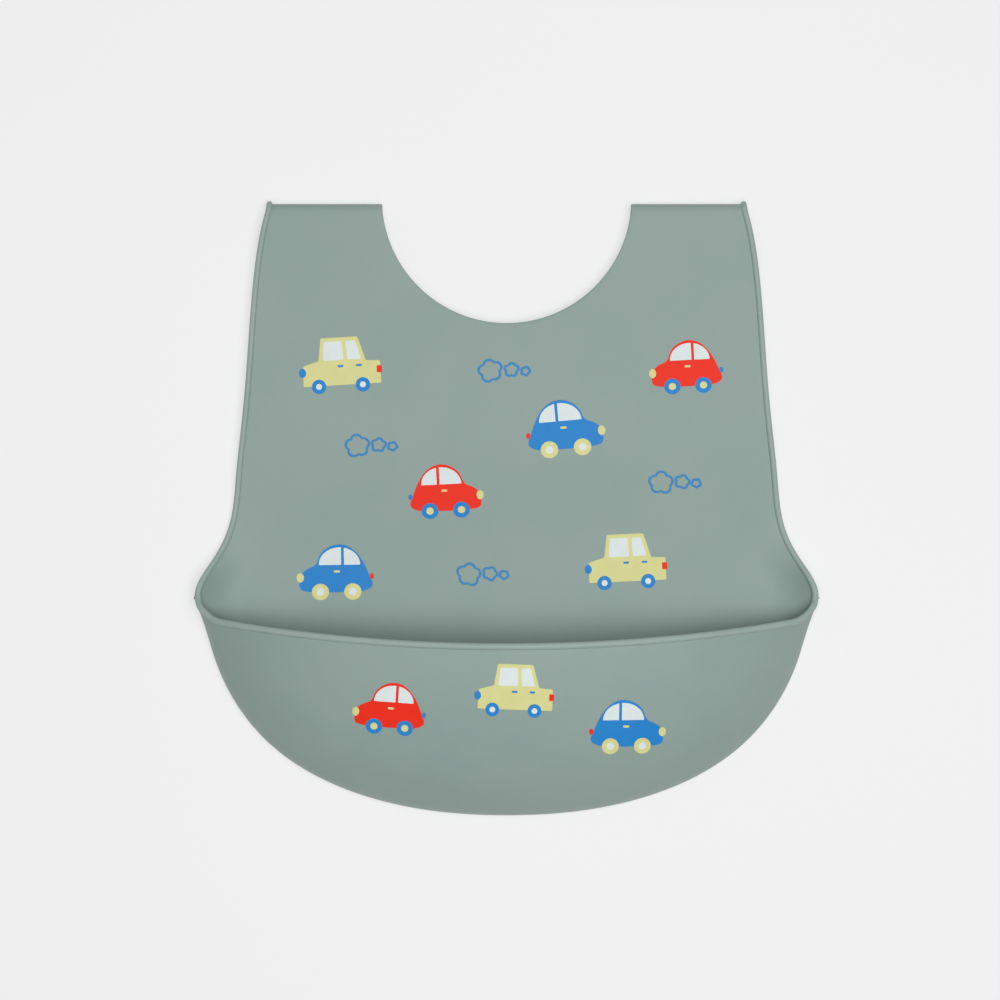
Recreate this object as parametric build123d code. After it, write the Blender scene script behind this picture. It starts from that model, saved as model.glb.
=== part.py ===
"""A silicone baby bib with a scoop pocket, lying on its back with its neck straps folded behind it.

Each node is drawn with y = 0 at the bottom edge of the pocket and z = 0 on the table, then moved by
PLACE so that the origin is the middle of the bib's footprint. All lengths are in millimetres.
"""

from build123d import *
import math
import os

# Overall size, lying flat with the straps folded under.
LENGTH = 268.0
SHEET = 1.8
BEAD_WIDTH = 3.2
BEAD_HEIGHT = 1.5
HINGE_GAP = 0.3

# Neck opening: one circle, whose lower part is the neckline and whose rest is the straps' inside.
NECK_RADIUS = 54.5
NECK_ABOVE_FOLD = 6.0

# Shoulder folds: the sheet turns back on itself round a half circle.
FOLD_RADIUS = 2.9
STRAP_BOTTOM = 1.6
STRAP_TOP = STRAP_BOTTOM + SHEET
STRAP_MID = STRAP_BOTTOM + SHEET / 2
SHOULDER_BOTTOM = STRAP_BOTTOM + 2 * FOLD_RADIUS
SHOULDER_MID = SHOULDER_BOTTOM + SHEET / 2
FOLD_Y = LENGTH - FOLD_RADIUS - SHEET / 2
SHOULDER_HALF_WIDTH = 105.4
RAMP_START = 105.0
RAMP_END = 183.0

# Pocket: every level of the wall is the bottom outline, drawn in towards the middle of the mouth.
CORNER = (137.0, 96.5)
POCKET_MID_Y = 96.0
POCKET_DEPTH = 44.0
WALL_BASE = SHEET
RIM_MID_Y = 76.2
RIM_RADIUS = 830.0
RIM_EXTRA = 0.7
RIM_END_HEIGHT = 4.0
LEVEL_ANGLES = range(0, 85, 12)

# Straps: the back half of the collar, with a gap at the middle of the neck.
STRAP_GAP = 8.0
STRAP_TIP_WIDTH = 27.0
TIP_ROUND = 11.0
STRAP_BEAD_SHARE = 0.035

# Button and its holes, on the middle of the straps.
HOLE_RADIUS = 2.6
HOLE_COUNT = 4
HOLE_STEP_DEG = 9.0
HOLE_FIRST_DEG = 17.0
POST_RADIUS = 2.3
POST_HEIGHT = 2.1
HEAD_RADIUS = 4.4
HEAD_HEIGHT = 1.5

# Printed motifs.
INK = 0.2
CAR_LENGTH = 33.0
PUFF_LENGTH = 23.0

# name: (kind, x, y, tilt in degrees, way it faces: -1 left, +1 right)
PANEL_PRINTS = {
    "red_car_shoulder": ("round", 79.2, 196.3, 2.8, -1),
    "yellow_car_shoulder": ("boxy", -72.1, 197.3, 3.4, -1),
    "blue_car_chest": ("round", 25.5, 169.4, 5.2, 1),
    "red_car_chest": ("round", -27.1, 142.1, 2.8, 1),
    "blue_car_belly": ("round", -75.5, 106.5, 0.9, -1),
    "yellow_car_belly": ("boxy", 53.0, 111.3, 2.7, -1),
    "puff_neck": ("puff", -1.3, 195.2, 0.0, 1),
    "puff_left": ("puff", -59.4, 162.4, 0.0, 1),
    "puff_right": ("puff", 73.5, 146.3, 0.0, 1),
    "puff_belly": ("puff", -10.7, 106.0, 0.0, 1),
}
POCKET_PRINTS = {
    "red_car_pocket": ("round", -50.4, 50.1, -3.7, -1),
    "yellow_car_pocket": ("boxy", 3.1, 57.4, -2.1, -1),
    "blue_car_pocket": ("round", 51.3, 42.0, 0.0, 1),
}

PLACE = Pos(0, -LENGTH / 2, 0)
SPAN = 400.0


def mirrored(edges):
    """The right-hand edges with their mirror image, as one closed face."""
    return make_face(Curve() + [*edges, *[mirror(e, Plane.YZ) for e in edges]])


def bottom_edges():
    """Right half of the pocket's outline: round corner, then a full curve to the bottom."""
    corner_top = (135.6, 102.5)
    corner_end = (135.4, 90.9)
    corner = ThreePointArc(corner_top, CORNER, corner_end)
    points = [corner_end, (127.9, 68.0), (105.5, 32.8), (68.9, 10.8), (0, 0)]
    curve = Spline(*points, tangents=[(-0.3, -1), (-1, 0)])
    return corner_top, corner, curve


def side_edge(corner_top):
    """Right side of the panel, from the shoulder down to the pocket's corner."""
    shoulder = (SHOULDER_HALF_WIDTH, FOLD_Y)
    points = [shoulder, (109.8, 241.8), (113.2, 202.0), (115.8, 172.0), (118.4, 150.0)]
    points += [(122.0, 127.0), (128.8, 113.0), corner_top]
    return Spline(*points, tangents=[(0.3, -1), (0.4, -1)])


def panel_outline():
    """The whole panel seen from above, with the neckline cut out."""
    corner_top, corner, curve = bottom_edges()
    shoulder = Line((0, FOLD_Y), (SHOULDER_HALF_WIDTH, FOLD_Y))
    neck = Pos(0, FOLD_Y + NECK_ABOVE_FOLD) * Circle(NECK_RADIUS)
    return mirrored([shoulder, side_edge(corner_top), corner, curve]) - neck


def panel_band(low, high):
    """A layer between two heights over the panel's sheet, rising to clear the straps."""

    def ramp(height):
        length = RAMP_END - RAMP_START
        flat, raised = height, SHOULDER_BOTTOM + height
        points = [
            (RAMP_START, flat),
            (RAMP_START + length / 3, flat),
            (RAMP_END - length / 3, raised),
            (RAMP_END, raised),
        ]
        return [
            Line((-SPAN, flat), points[0]),
            Bezier(*points),
            Line(points[-1], (FOLD_Y, raised)),
        ]

    low_edges, high_edges = ramp(low), ramp(high)
    ends = [
        Line(low_edges[0] @ 0, high_edges[0] @ 0),
        Line(low_edges[-1] @ 1, high_edges[-1] @ 1),
    ]
    section = Plane.YZ * make_face(Curve() + [*low_edges, *high_edges, *ends])
    return extrude(section, amount=SPAN, both=True)


def column(outline, height=60.0):
    """A tall prism of an outline, which cuts a piece out of a layer."""
    return extrude(Pos(0, 0, -height) * outline, amount=2 * height)


def front_panel():
    """The sheet, with a raised bead on its two side edges above the pocket's corners."""
    sheet = panel_band(0, SHEET) & column(panel_outline())
    corner_top, _, _ = bottom_edges()
    outer = side_edge(corner_top)
    inner = Pos(-BEAD_WIDTH, 0) * outer
    ends = [Line(outer @ 0, inner @ 0), Line(outer @ 1, inner @ 1)]
    border = make_face(Curve() + [outer, inner, *ends])
    raised = panel_band(SHEET, SHEET + BEAD_HEIGHT)
    bead = raised & column(border)
    return sheet + bead + mirror(bead, Plane.YZ)


def pocket_level(size, height):
    """The pocket's outline, drawn in towards the middle of its mouth, at a height."""
    points = [(135.4, 90.9), (127.9, 68.0), (105.5, 32.8), (68.9, 10.8), (0, 0)]
    points += [(-x, y) for x, y in reversed(points[:-1])]
    points = [(x * size, (y - POCKET_MID_Y) * size) for x, y in points]
    outline = Spline(*points, tangents=[(-0.3, -1), (-0.3, 1)])
    level = make_face(Curve() + [outline, Line(points[-1], points[0])])
    return Pos(0, POCKET_MID_Y, height) * level


def pocket_solid(grow):
    """The pocket as a full body, its outline and its depth grown by a length."""
    size = (CORNER[0] + grow) / CORNER[0]
    depth = POCKET_DEPTH + grow
    turns = [math.radians(angle) for angle in LEVEL_ANGLES]
    levels = [
        pocket_level(size * math.cos(turn), WALL_BASE + depth * math.sin(turn)) for turn in turns
    ]
    return loft(levels)


def mouth_cut(below):
    """Everything on the pocket's side of its mouth, less a strip along the mouth."""
    arc = Pos(0, RIM_MID_Y - below + RIM_RADIUS) * Circle(RIM_RADIUS)
    return column(Rectangle(SPAN, SPAN) - arc)


def above(height):
    """Everything higher than a level."""
    return Pos(0, 0, height + SPAN / 2) * Box(2 * SPAN, 2 * SPAN, SPAN)


def pocket_wall():
    """The scoop, from the panel's face up to just under the rim."""
    shell = pocket_solid(0) - pocket_solid(-SHEET)
    return shell & mouth_cut(BEAD_WIDTH + HINGE_GAP)


def pocket_rim():
    """The thick bead along the mouth, which ends just above the panel at both corners."""
    strip = mouth_cut(0) - mouth_cut(BEAD_WIDTH)
    shell = pocket_solid(RIM_EXTRA) - pocket_solid(-SHEET - RIM_EXTRA)
    return shell & strip & above(RIM_END_HEIGHT)


def shoulder_fold():
    """The right shoulder's half-round turn, between the panel and the strap."""
    middle = (FOLD_Y, (SHOULDER_MID + STRAP_MID) / 2)
    ring = Circle(FOLD_RADIUS + SHEET / 2) - Circle(FOLD_RADIUS - SHEET / 2)
    front = Pos(SPAN / 2, 0) * Rectangle(SPAN, SPAN)
    section = Plane.YZ * (Pos(*middle) * (ring & front))
    inner = neck_half_width(NECK_ABOVE_FOLD)
    width = SHOULDER_HALF_WIDTH - inner
    neck = Pos(0, FOLD_Y + NECK_ABOVE_FOLD) * Cylinder(NECK_RADIUS, SPAN)
    return Pos(inner, 0, 0) * extrude(section, amount=width) - neck


def neck_half_width(above):
    """Half the neck opening at a distance from the level of its middle."""
    return math.sqrt(NECK_RADIUS**2 - above**2)


def strap_middle():
    """The middle of the neck circle, as the folded strap carries it."""
    turned = math.pi * FOLD_RADIUS
    return FOLD_Y + turned - NECK_ABOVE_FOLD


def strap_blank(size=1.0):
    """The right strap's outer curve, filled in to the middle of the neck and drawn in by a size."""
    bottom = (0, -NECK_RADIUS - STRAP_TIP_WIDTH)
    top = FOLD_Y - strap_middle()
    points = [(SHOULDER_HALF_WIDTH, top), (95.0, top - 41.2), (62.0, top - 72.2), bottom]
    start, *_, bottom = points = [(x * size, y * size) for x, y in points]
    outer = Spline(*points, tangents=[(-0.05, -1), (-1, 0)])
    corner = (0, start[1])
    blank = make_face(Curve() + [Line(corner, start), outer, Line(bottom, corner)])
    return Pos(0, strap_middle()) * blank


def strap_outline():
    """The right strap seen from above: a tapering arc round the neck, with a round tip."""
    beside_gap = Pos(STRAP_GAP / 2 + SPAN / 2, 0) * Rectangle(SPAN, 2 * SPAN)
    outline = (strap_blank() - Pos(0, strap_middle()) * Circle(NECK_RADIUS)) & beside_gap
    tip = outline.vertices().group_by(Axis.X)[0]
    return fillet(tip, TIP_ROUND)


def strap():
    """The right strap: a flat sheet with a bead along its outer face, which lies downwards."""
    outline = strap_outline()
    inside = strap_blank(1 - STRAP_BEAD_SHARE)
    sheet = extrude(Pos(0, 0, STRAP_BOTTOM) * outline, amount=SHEET)
    return sheet + extrude(outline - inside, amount=STRAP_BOTTOM)


def on_strap(angle):
    """A place on the middle line of the right strap, at an angle from the back of the neck."""
    turn = math.radians(angle)
    reach = NECK_RADIUS + STRAP_TIP_WIDTH / 2 + 1
    return Pos(reach * math.sin(turn), strap_middle() - reach * math.cos(turn), 0)


def hole_strap():
    """The right strap, with its row of button holes."""
    blank = strap()
    for step in range(HOLE_COUNT):
        place = on_strap(HOLE_FIRST_DEG + step * HOLE_STEP_DEG)
        blank -= place * Cylinder(HOLE_RADIUS, 4 * STRAP_TOP)
    return blank


def button():
    """The round-headed post on the left strap."""
    foot = (Align.CENTER, Align.CENTER, Align.MIN)
    post = Cylinder(POST_RADIUS, POST_HEIGHT, align=foot)
    head = Pos(0, 0, POST_HEIGHT) * Cylinder(HEAD_RADIUS, HEAD_HEIGHT, align=foot)
    head = fillet(head.edges().group_by(Axis.Z)[-1], HEAD_HEIGHT * 0.6)
    place = on_strap(HOLE_FIRST_DEG)
    return mirror(place * Pos(0, 0, STRAP_TOP) * (post + head), Plane.YZ)


def round_car():
    """A round-roofed toy car facing left: hull, cabin, wheels and lamps as one outline."""
    length = CAR_LENGTH
    hull = Pos(0, -0.09 * length) * Ellipse(0.46 * length, 0.18 * length)
    cabin = Pos(0.02 * length, 0.0) * Ellipse(0.28 * length, 0.37 * length)
    wheel = Circle(0.11 * length)
    wheels = Pos(-0.22 * length, -0.25 * length) * wheel + Pos(0.22 * length, -0.25 * length) * wheel
    lamps = Pos(-0.46 * length, -0.05 * length) * Circle(0.045 * length)
    lamps += Pos(0.45 * length, -0.07 * length) * Circle(0.035 * length)
    return hull + cabin + wheels + lamps


def boxy_car():
    """A square-built toy car facing left, as one outline."""
    length = CAR_LENGTH * 1.09
    hull = Pos(0, -0.09 * length) * RectangleRounded(0.94 * length, 0.28 * length, 0.04 * length)
    roof = [(-0.27, 0.0), (0.25, 0.0), (0.16, 0.33), (-0.25, 0.33)]
    cabin = Polygon(*[(x * length, y * length) for x, y in roof], align=None)
    wheel = Circle(0.11 * length)
    wheels = Pos(-0.27 * length, -0.24 * length) * wheel + Pos(0.25 * length, -0.24 * length) * wheel
    lamps = Pos(-0.47 * length, -0.07 * length) * Circle(0.04 * length)
    return hull + cabin + wheels + lamps


def puff():
    """A trail of puffs of smoke that grow smaller to the right."""
    length = PUFF_LENGTH
    cloud = Pos(-0.3 * length, 0) * Circle(0.2 * length)
    cloud += Pos(-0.02 * length, 0.02 * length) * Circle(0.17 * length)
    cloud += Pos(0.21 * length, -0.01 * length) * Circle(0.13 * length)
    cloud += Pos(0.38 * length, -0.02 * length) * Circle(0.09 * length)
    return cloud


MOTIFS = {"round": round_car(), "boxy": boxy_car(), "puff": puff()}


def placed_motif(kind, x, y, tilt, faces):
    """A motif's outline, turned and set down on the bib."""
    motif = MOTIFS[kind]
    if faces > 0:
        motif = mirror(motif, Plane.YZ)
    return Pos(x, y) * Rot(0, 0, tilt) * motif


def write(name, shape):
    """Write one node at its place."""
    export_step(Compound((PLACE * shape).solids()), f"parts/{name}.step")


os.makedirs("parts", exist_ok=True)

write("front_panel", front_panel())
write("pocket_wall", pocket_wall())
write("pocket_rim", pocket_rim())

fold = shoulder_fold()
write("right_shoulder_fold", fold)
write("left_shoulder_fold", mirror(fold, Plane.YZ))
write("right_strap", hole_strap())
write("left_strap", mirror(strap(), Plane.YZ))
write("button", button())

panel_ink = panel_band(SHEET, SHEET + INK)
for name, print_values in PANEL_PRINTS.items():
    write(name, panel_ink & column(placed_motif(*print_values)))

pocket_ink = pocket_solid(INK) - pocket_solid(0)
for name, print_values in POCKET_PRINTS.items():
    write(name, pocket_ink & column(placed_motif(*print_values)))
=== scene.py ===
"""A silicone bib that lies on its back: sheet, scoop pocket, beads, folded straps and printed toys.

Lengths are in metres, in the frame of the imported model. Plan places are written from the bib's own
corner: x from its middle and y up from the bottom of the pocket.
"""

import math

import bpy
import numpy as np
from bpy.props import FloatProperty, FloatVectorProperty, IntProperty, PointerProperty
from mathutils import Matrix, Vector


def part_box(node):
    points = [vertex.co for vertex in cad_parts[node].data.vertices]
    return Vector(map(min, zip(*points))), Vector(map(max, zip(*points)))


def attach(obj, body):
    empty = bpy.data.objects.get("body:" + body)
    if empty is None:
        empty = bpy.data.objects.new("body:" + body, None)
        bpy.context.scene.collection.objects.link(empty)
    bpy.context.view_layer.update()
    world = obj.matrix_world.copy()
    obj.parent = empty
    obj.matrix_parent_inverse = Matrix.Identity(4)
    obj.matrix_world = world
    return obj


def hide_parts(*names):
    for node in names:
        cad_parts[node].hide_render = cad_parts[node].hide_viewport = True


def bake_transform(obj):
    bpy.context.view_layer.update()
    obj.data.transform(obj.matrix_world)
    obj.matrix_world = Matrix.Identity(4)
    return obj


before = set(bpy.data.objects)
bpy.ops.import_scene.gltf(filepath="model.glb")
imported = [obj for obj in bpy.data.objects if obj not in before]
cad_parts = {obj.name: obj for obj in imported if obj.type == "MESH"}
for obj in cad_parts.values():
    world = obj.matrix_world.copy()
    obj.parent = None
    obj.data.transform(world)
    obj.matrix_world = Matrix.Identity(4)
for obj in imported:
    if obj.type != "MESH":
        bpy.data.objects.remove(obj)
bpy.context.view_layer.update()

bl_info = {
    "name": "Silicone bib",
    "version": (1, 0, 0),
    "blender": (4, 5, 0),
    "location": "View3D > Sidebar > Bib",
    "description": "Builds a silicone bib with a scoop pocket, folded straps and printed toys",
    "category": "Object",
}

MM = 0.001

PANEL_LOW, PANEL_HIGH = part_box("front_panel")
FOLD_LOW, FOLD_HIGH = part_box("right_shoulder_fold")
WALL_LOW, WALL_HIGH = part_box("pocket_wall")

BOTTOM_Y = PANEL_LOW.y
FOLD_Y = PANEL_HIGH.y
SHEET = 1.8 * MM
SHOULDER_BACK = FOLD_HIGH.z - SHEET
STRAP_BACK = FOLD_LOW.z + SHEET
FOLD_MIDDLE_Z = (FOLD_LOW.z + FOLD_HIGH.z) / 2
FOLD_RADIUS = (FOLD_HIGH.z - FOLD_LOW.z - SHEET) / 2
SHOULDER_OUTER = FOLD_HIGH.x
NECK_RADIUS = 54.5 * MM
NECK_Y = FOLD_Y + 6.0 * MM
STRAP_NECK_Y = FOLD_Y + math.pi * FOLD_RADIUS - 6.0 * MM
RAMP_START = BOTTOM_Y + 105 * MM
RAMP_END = BOTTOM_Y + 183 * MM
WALL_BASE = WALL_LOW.z
POCKET_Y = BOTTOM_Y + 96 * MM
# Where the edge curls up the most, and where the side beads run into the rim's.
CURL_Y = BOTTOM_Y + 99 * MM
BEADS_MEET_Y = BOTTOM_Y + 98 * MM
# From this far out to the corner, along this way, the mouth turns up by this much.
MOUTH_TURN_X = 124 * MM
MOUTH_TURN_WAY = 13 * MM
MOUTH_TURN_UP = 9 * MM

# The right-hand outline from the shoulder to the pocket's corner, and on to the bottom.
SIDE = [
    (105.4, 264.2), (109.8, 241.8), (113.2, 202.0), (115.8, 172.0), (118.4, 150.0),
    (121.8, 127.0), (128.2, 113.0), (134.4, 102.5), (135.8, 96.5),
]
BOTTOM = [(135.8, 96.5), (134.4, 90.9), (127.8, 68.0), (105.5, 32.8), (68.9, 10.8), (0.0, 0.0)]
CORNER_WAY = (-0.05, -1.0)
# The middle of a side bead above the sheet's back, and of the rim bead inside the wall's face.
BEAD_MIDDLE = 1.8 * MM
RIM_INSET = 0.3 * MM
# The strip along the outline that stays level under the beads.
LEVEL_EDGE = 1.5 * MM
# Places that are closer than this are one place.
TINY = 0.01 * MM
# Places along a plan curve.
FINE = 600


# --------------------------------------------------------------------------- sizes and colours


def length(name, words, millimetres):
    """A length property."""
    return FloatProperty(name=name, description=words, default=millimetres * MM, unit="LENGTH")


class BibSize(bpy.types.PropertyGroup):
    """Sizes of the moulded and printed details."""

    side_bead: length("Side bead", "Radius of the bead on the side edges", 1.3)
    rim_bead: length("Rim bead", "Radius of the bead along the pocket's mouth", 1.5)
    pocket_depth: length("Pocket depth", "Height of the pocket above the panel", 44)
    mouth_low: length("Mouth", "Distance from the bottom edge to the middle of the rim", 76.2)
    mouth_radius: length("Mouth radius", "Radius of the mouth's curve, seen from above", 830)
    curl: length("Corner curl", "How far the edge curls up beside the mouth", 11)
    curl_width: length("Curl width", "Width of the strip that curls up", 19)
    curl_reach: length("Curl reach", "How far along the edge the curl reaches", 16)
    ink: length("Ink", "How far the first layer of ink stands above the silicone", 0.1)
    ink_step: length("Ink step", "How far each later layer of ink stands above the last", 0.05)
    stroke: length("Stroke", "Width of the drawn smoke puffs' line", 1.15)
    fineness: IntProperty(
        name="Fineness", description="Divisions across the panel", default=160, min=20,
    )


def tint(name, words, colour):
    """A colour property from an everyday 0 to 255 colour."""
    return FloatVectorProperty(
        name=name, description=words, subtype="COLOR", size=3, default=linear(colour),
    )


def linear(colour):
    """An everyday 0 to 255 colour as light shares."""
    shares = [part / 255 for part in colour]
    return tuple(s / 12.92 if s < 0.04045 else ((s + 0.055) / 1.055) ** 2.4 for s in shares)


class BibColours(bpy.types.PropertyGroup):
    """Colours of the silicone and of the inks."""

    silicone: tint("Silicone", "Colour of the sheet", (149, 168, 162))
    silicone_deep: tint("Silicone, deep", "Colour of the sheet's darker clouds", (145, 165, 159))
    # Same silicone as the sheet, set lighter: painted highlight on the raised beads.
    bead: tint("Bead", "Colour of the thick edges", (158, 176, 169))
    red: tint("Red ink", "Colour of the red cars", (246, 52, 32))
    blue: tint("Blue ink", "Colour of the blue cars", (46, 137, 211))
    line: tint("Line ink", "Colour of the drawn puffs", (66, 140, 196))
    yellow: tint("Yellow ink", "Colour of the yellow cars", (224, 222, 153))
    white: tint("White ink", "Colour of the windows and hubs", (228, 238, 237))


def sizes():
    """The sizes set on the scene."""
    return bpy.context.scene.bib_size


# --------------------------------------------------------------------------- plan curves


def unit(way):
    """A direction with length one."""
    way = np.array(way, float)
    return way / np.linalg.norm(way)


def smooth(points, start=None, end=None, count=FINE):
    """Places evenly along a smooth curve through points; without directions it is a closed one."""
    knots = np.array(points, float)
    closed = start is None
    if closed:
        knots = np.vstack([knots, knots[:1]])
    gaps = np.linalg.norm(np.diff(knots, axis=0), axis=1)
    last = len(knots) - 1
    system = np.zeros((last + 1, last + 1))
    right = np.zeros((last + 1, knots.shape[1]))
    for i in range(last + 1):
        if not closed and i in (0, last):
            system[i, i] = 1
            right[i] = unit(end if i else start)
            continue
        if closed and i == last:
            system[i, i], system[i, 0] = 1, -1
            continue
        before, after = gaps[i - 1], gaps[i]
        last_step = knots[i] - knots[i - 1] if i else knots[0] - knots[-2]
        system[i, (i - 1) if i else last - 1] += after
        system[i, i] += 2 * (before + after)
        system[i, i + 1] += before
        right[i] = 3 * (after * last_step / before + before * (knots[i + 1] - knots[i]) / after)
    slopes = np.linalg.solve(system, right)
    path = []
    for i, gap in enumerate(gaps):
        t = np.linspace(0, 1, 40, endpoint=i == last - 1)[:, None]
        path.append(
            (2 * t**3 - 3 * t**2 + 1) * knots[i]
            + (t**3 - 2 * t**2 + t) * gap * slopes[i]
            + (3 * t**2 - 2 * t**3) * knots[i + 1]
            + (t**3 - t**2) * gap * slopes[i + 1]
        )
    path = along(np.vstack(path), np.linspace(0, 1, count + (1 if closed else 0)))
    return path[:-1] if closed else path


def along(path, shares):
    """Places on a path at shares of its length."""
    steps = np.linalg.norm(np.diff(path, axis=0), axis=1)
    reach = np.concatenate([[0], np.cumsum(steps)])
    where = np.asarray(shares) * reach[-1]
    return np.stack([np.interp(where, reach, column) for column in path.T], axis=-1)


def beside(path, distance):
    """A path moved sideways, to the right of the way it runs."""
    ways = np.gradient(path, axis=0)
    ways /= np.linalg.norm(ways, axis=1)[:, None]
    return path + np.column_stack([ways[:, 1], -ways[:, 0]]) * distance


def in_frame(points):
    """Plan points in millimetres from the bib's corner, as metres in the frame."""
    return np.array(points, float) * MM + np.array([0, BOTTOM_Y])


def mirror_x(path):
    """A path's mirror image across the bib's middle."""
    return path * np.array([-1] + [1] * (path.shape[1] - 1))


RIGHT_SIDE = in_frame(smooth(SIDE, (0.3, -1), CORNER_WAY))
RIGHT_BOTTOM = in_frame(smooth(BOTTOM, CORNER_WAY, (-1, 0)))
BOTTOM_PATH = np.vstack([mirror_x(RIGHT_BOTTOM), RIGHT_BOTTOM[::-1][1:]])


def top_path():
    """The panel's top edge from left to right: shoulder, neckline, shoulder."""
    turn = math.acos((NECK_Y - FOLD_Y) / NECK_RADIUS)
    turns = np.linspace(-turn, turn, FINE)
    neck = np.stack([NECK_RADIUS * np.sin(turns), NECK_Y - NECK_RADIUS * np.cos(turns)], -1)
    left = np.array([[-SHOULDER_OUTER, FOLD_Y]])
    right = np.array([[SHOULDER_OUTER, FOLD_Y]])
    return np.vstack([left, neck, right])


# --------------------------------------------------------------------------- heights


def rise(share):
    """A smooth step from 0 to 1."""
    share = np.clip(share, 0, 1)
    return share * share * (3 - 2 * share)


def corner_curl(x, y):
    """How far the sheet's edge curls up where the pocket's mouth ends."""
    nearness = np.exp(-(((y - CURL_Y) / sizes().curl_reach) ** 2))
    outline = np.vstack([RIGHT_BOTTOM[::-1], RIGHT_SIDE[::-1][1:]])
    inside = np.interp(y, outline[:, 1], outline[:, 0]) - np.abs(x) - LEVEL_EDGE
    near_edge = np.clip(1 - inside / sizes().curl_width, 0, 1)
    return sizes().curl * nearness * near_edge**2


def panel_back(x, y):
    """Height of the sheet's underside, which climbs over the folded straps."""
    return SHOULDER_BACK * rise((y - RAMP_START) / (RAMP_END - RAMP_START)) + corner_curl(x, y)


def panel_top(x, y):
    """Height of the printed side of the sheet."""
    return panel_back(x, y) + SHEET


def mouth_y(x):
    """The pocket's mouth seen from above: a shallow curve that turns up at the corners."""
    turned = np.clip((np.abs(x) - MOUTH_TURN_X) / MOUTH_TURN_WAY, 0, None)
    bow = x * x / (2 * sizes().mouth_radius)
    return BOTTOM_Y + sizes().mouth_low + bow + MOUTH_TURN_UP * turned**2


def pocket_share(x, y):
    """How far a place is from the middle of the mouth, as a share of the way to the outline."""
    angles = np.arctan2(BOTTOM_PATH[:, 1] - POCKET_Y, BOTTOM_PATH[:, 0])
    angles = np.where(angles > math.pi / 2, angles - 2 * math.pi, angles)
    reach = np.hypot(BOTTOM_PATH[:, 0], BOTTOM_PATH[:, 1] - POCKET_Y)
    here = np.arctan2(y - POCKET_Y, x)
    here = np.where(here > math.pi / 2, here - 2 * math.pi, here)
    return np.hypot(x, y - POCKET_Y) / np.interp(here, angles, reach)


def pocket_top(x, y):
    """Height of the pocket's outside."""
    share = np.clip(pocket_share(x, y), 0, 1)
    return WALL_BASE + sizes().pocket_depth * np.sqrt(1 - share**2)


# --------------------------------------------------------------------------- making meshes


def deselect():
    """Leave nothing selected."""
    bpy.ops.object.select_all(action="DESELECT")


def select_only(*pieces):
    """Select these pieces, the first one active."""
    deselect()
    for piece in pieces:
        piece.select_set(True)
    bpy.context.view_layer.objects.active = pieces[0]


def coordinates(piece):
    """A mesh's places as rows of x, y, z."""
    places = np.zeros(len(piece.data.vertices) * 3)
    piece.data.vertices.foreach_get("co", places)
    return places.reshape(-1, 3)


def move_to(piece, places):
    """Put a mesh's points at these places."""
    piece.data.vertices.foreach_set("co", np.asarray(places, float).ravel())
    piece.data.update()


def grid(name, columns, rows):
    """A flat grid, with each point's shares across and up it."""
    deselect()
    bpy.ops.mesh.primitive_grid_add(x_subdivisions=columns, y_subdivisions=rows, size=1)
    piece = bpy.context.object
    piece.name = name
    flat = coordinates(piece)
    return piece, flat[:, 0] + 0.5, flat[:, 1] + 0.5


def edit_all(piece, *steps):
    """Work on the whole of a mesh in edit mode; each step is an operator and its settings."""
    select_only(piece)
    bpy.ops.object.mode_set(mode="EDIT")
    for step, settings in steps:
        bpy.ops.mesh.select_all(action="SELECT")
        step(**settings)
    bpy.ops.object.mode_set(mode="OBJECT")


def add_modifier(piece, kind, **settings):
    """Add a modifier with its settings and apply it."""
    select_only(piece)
    bpy.ops.object.modifier_add(type=kind)
    modifier = piece.modifiers[-1]
    for name, value in settings.items():
        setattr(modifier, name, value)
    bpy.ops.object.modifier_apply(modifier=modifier.name)


def thicken(piece, thickness, even=True):
    """Give a sheet its thickness, on the side away from its face."""
    add_modifier(piece, "SOLIDIFY", thickness=thickness, offset=-1, use_even_offset=even)


def round_edges(piece, chosen, width, segments=3):
    """Round the edges for which chosen(first place, second place) is true."""
    select_only(piece)
    places = coordinates(piece)
    bpy.ops.object.mode_set(mode="EDIT")
    bpy.ops.mesh.select_mode(type="EDGE")
    bpy.ops.mesh.select_all(action="DESELECT")
    bpy.ops.object.mode_set(mode="OBJECT")
    for edge in piece.data.edges:
        first, second = edge.vertices
        edge.select = bool(chosen(places[first], places[second]))
    bpy.ops.object.mode_set(mode="EDIT")
    bpy.ops.mesh.bevel(offset=width, segments=segments, affect="EDGES", clamp_overlap=True)
    bpy.ops.object.mode_set(mode="OBJECT")


def finish_piece(piece, material, angle=40):
    """Smooth the faces, and give the piece its material and slot."""
    select_only(piece)
    bpy.ops.object.shade_smooth_by_angle(angle=math.radians(angle))
    if material is not None:
        piece.data.materials.clear()
        piece.data.materials.append(material)
    return piece


def tube(name, path, radii):
    """A round bar along a path, with its ends closed."""
    line = bpy.data.curves.new(name, "CURVE")
    line.dimensions = "3D"
    line.bevel_depth = 1.0
    line.bevel_resolution = 5
    line.use_fill_caps = True
    run = line.splines.new("POLY")
    run.points.add(len(path) - 1)
    for point, place, radius in zip(run.points, path, radii):
        point.co = (*place, 1)
        point.radius = radius
    piece = bpy.data.objects.new(name, line)
    bpy.context.collection.objects.link(piece)
    select_only(piece)
    bpy.ops.object.convert(target="MESH")
    return bpy.context.object


# --------------------------------------------------------------------------- materials


class Value:
    """A shader socket that can be used in sums."""

    def __init__(self, tree, socket):
        self.tree = tree
        self.socket = socket

    def maths(self, operation, *values):
        """A Math node on these values."""
        return self.tree.node("ShaderNodeMath", {"operation": operation}, *values)

    def __add__(self, other):
        return self.maths("ADD", self, other)

    def __radd__(self, other):
        return self.maths("ADD", other, self)

    def __mul__(self, other):
        return self.maths("MULTIPLY", self, other)

    def __rmul__(self, other):
        return self.maths("MULTIPLY", other, self)

    def __gt__(self, other):
        return self.maths("GREATER_THAN", self, other)


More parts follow.
